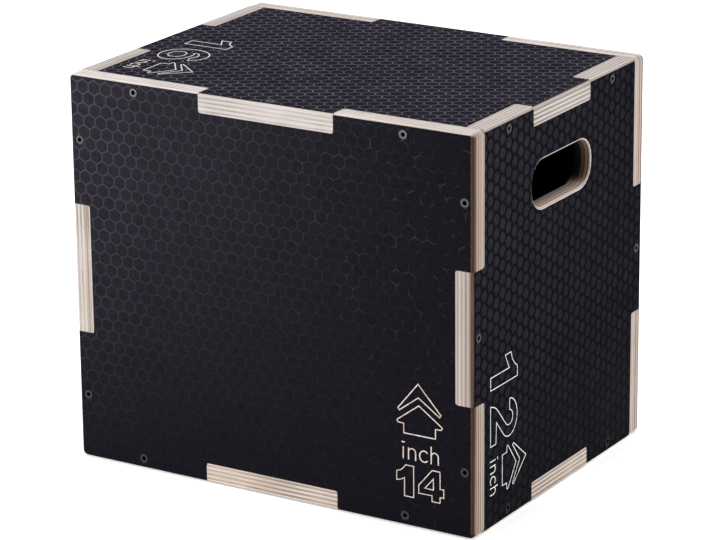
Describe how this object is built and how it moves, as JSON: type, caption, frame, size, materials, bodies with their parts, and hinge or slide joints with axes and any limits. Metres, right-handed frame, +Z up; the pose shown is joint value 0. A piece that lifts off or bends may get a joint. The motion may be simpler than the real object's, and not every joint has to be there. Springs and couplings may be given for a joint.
{
  "type": "plyo box",
  "caption": "Finger-jointed plywood jump box with anti-slip film faces, countersunk screws and a hand slot in each side, turned on another face for another height.",
  "frame": {"origin": "middle of the footprint on the floor", "axes": "+X to the right along the width, +Y to the back along the depth, +Z up"},
  "size_m": [0.4064, 0.3048, 0.3556],
  "materials": {
    "birch_ply": "sanded bare edge",
    "anti_slip_film": "hexagon embossed phenolic film",
    "smooth_film": "smooth phenolic film",
    "black_steel": "black oxide"
  },
  "bodies": {
    "root": {"front_panel": "birch_ply", "back_panel": "birch_ply", "right_panel": "birch_ply", "left_panel": "birch_ply", "top_panel": "birch_ply", "bottom_panel": "birch_ply", "front_outer_film": "anti_slip_film", "back_outer_film": "anti_slip_film", "right_outer_film": "anti_slip_film", "left_outer_film": "anti_slip_film", "top_outer_film": "anti_slip_film", "bottom_outer_film": "anti_slip_film", "front_inner_film": "smooth_film", "back_inner_film": "smooth_film", "right_inner_film": "smooth_film", "left_inner_film": "smooth_film", "top_inner_film": "smooth_film", "bottom_inner_film": "smooth_film", "front_screw_top_right": "black_steel", "front_screw_top_left": "black_steel", "front_screw_bottom_right": "black_steel", "front_screw_bottom_left": "black_steel", "front_screw_right_upper": "black_steel", "front_screw_left_upper": "black_steel", "front_screw_right_lower": "black_steel", "front_screw_left_lower": "black_steel", "back_screw_top_right": "black_steel", "back_screw_top_left": "black_steel", "back_screw_bottom_right": "black_steel", "back_screw_bottom_left": "black_steel", "back_screw_right_upper": "black_steel", "back_screw_left_upper": "black_steel", "back_screw_right_lower": "black_steel", "back_screw_left_lower": "black_steel", "right_screw_top_right": "black_steel", "right_screw_top_left": "black_steel", "right_screw_bottom_right": "black_steel", "right_screw_bottom_left": "black_steel", "right_screw_right_middle": "black_steel", "right_screw_left_middle": "black_steel", "left_screw_top_right": "black_steel", "left_screw_top_left": "black_steel", "left_screw_bottom_right": "black_steel", "left_screw_bottom_left": "black_steel", "left_screw_right_middle": "black_steel", "left_screw_left_middle": "black_steel", "top_screw_back": "black_steel", "top_screw_front": "black_steel", "top_screw_right": "black_steel", "top_screw_left": "black_steel", "bottom_screw_back": "black_steel", "bottom_screw_front": "black_steel", "bottom_screw_right": "black_steel", "bottom_screw_left": "black_steel"}
  },
  "joints": []
}
